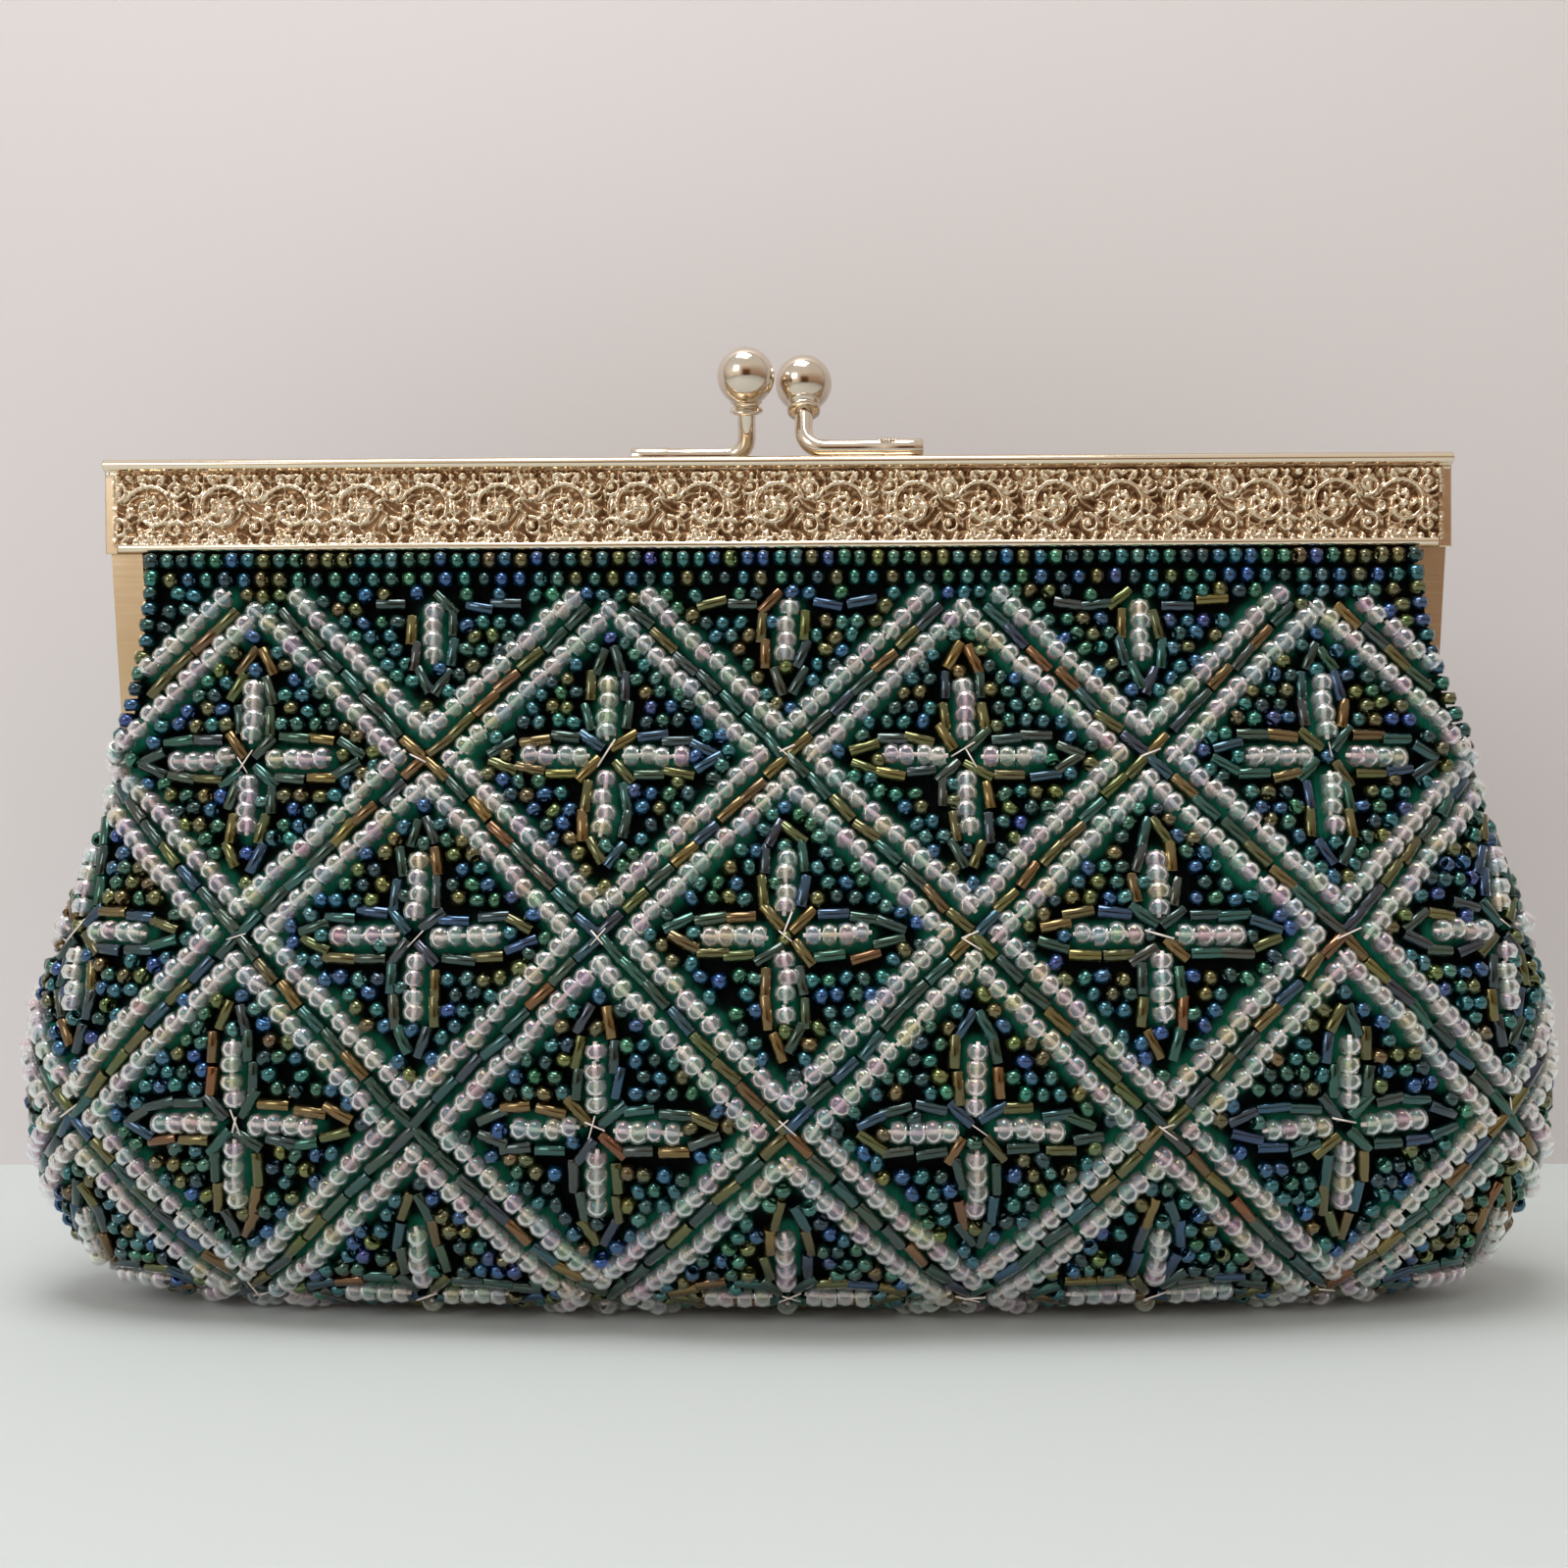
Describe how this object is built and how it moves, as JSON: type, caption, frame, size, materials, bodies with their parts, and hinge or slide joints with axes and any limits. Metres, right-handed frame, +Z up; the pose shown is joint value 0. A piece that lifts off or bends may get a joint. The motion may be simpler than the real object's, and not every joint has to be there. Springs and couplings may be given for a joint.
{
  "type": "kiss lock frame purse",
  "caption": "Evening clutch with a hinged metal frame closed by a kiss lock of two crossed balls on bent posts, above a soft beaded pouch.",
  "frame": {"origin": "centre of the base, on the surface the purse stands on", "axes": "+X along the frame to the right as seen from the front, the front faces -Y, +Z up"},
  "size_m": [0.2178, 0.049, 0.1361],
  "materials": {
    "frame_metal": "satin",
    "band_metal": "polished",
    "lock_metal": "polished",
    "rivet_metal": "satin",
    "beaded_fabric": "gloss",
    "interlining": "matte",
    "lining": "satin",
    "paper_cord": "matte"
  },
  "bodies": {
    "pouch": {"pouch_front_panel": "beaded_fabric", "pouch_rear_panel": "beaded_fabric", "pouch_interlining": "interlining", "pouch_lining": "lining", "left_hinge_rivet": "rivet_metal", "right_hinge_rivet": "rivet_metal"},
    "front_half": {"front_frame": "frame_metal", "front_embossed_band": "band_metal", "front_lock_post": "lock_metal", "front_lock_collar": "lock_metal", "front_lock_ball": "lock_metal", "front_paper_cord": "paper_cord", "front_yoke_panel": "beaded_fabric", "front_yoke_interlining": "interlining", "front_yoke_lining": "lining"},
    "rear_half": {"rear_frame": "frame_metal", "rear_embossed_band": "band_metal", "rear_lock_post": "lock_metal", "rear_lock_collar": "lock_metal", "rear_lock_ball": "lock_metal", "rear_paper_cord": "paper_cord", "rear_yoke_panel": "beaded_fabric", "rear_yoke_interlining": "interlining", "rear_yoke_lining": "lining"}
  },
  "joints": [
    {"name": "front_half_swing", "type": "hinge", "parent": "pouch", "child": "front_half", "pos_m": [0, 0, 0.073], "axis": [1, 0, 0], "range_deg": [0, 45]},
    {"name": "rear_half_swing", "type": "hinge", "parent": "pouch", "child": "rear_half", "pos_m": [0, 0, 0.073], "axis": [-1, 0, 0], "range_deg": [0, 45]}
  ],
  "couplings": [
    {"joint": "rear_half_swing", "follows": "front_half_swing", "ratio": 1}
  ]
}
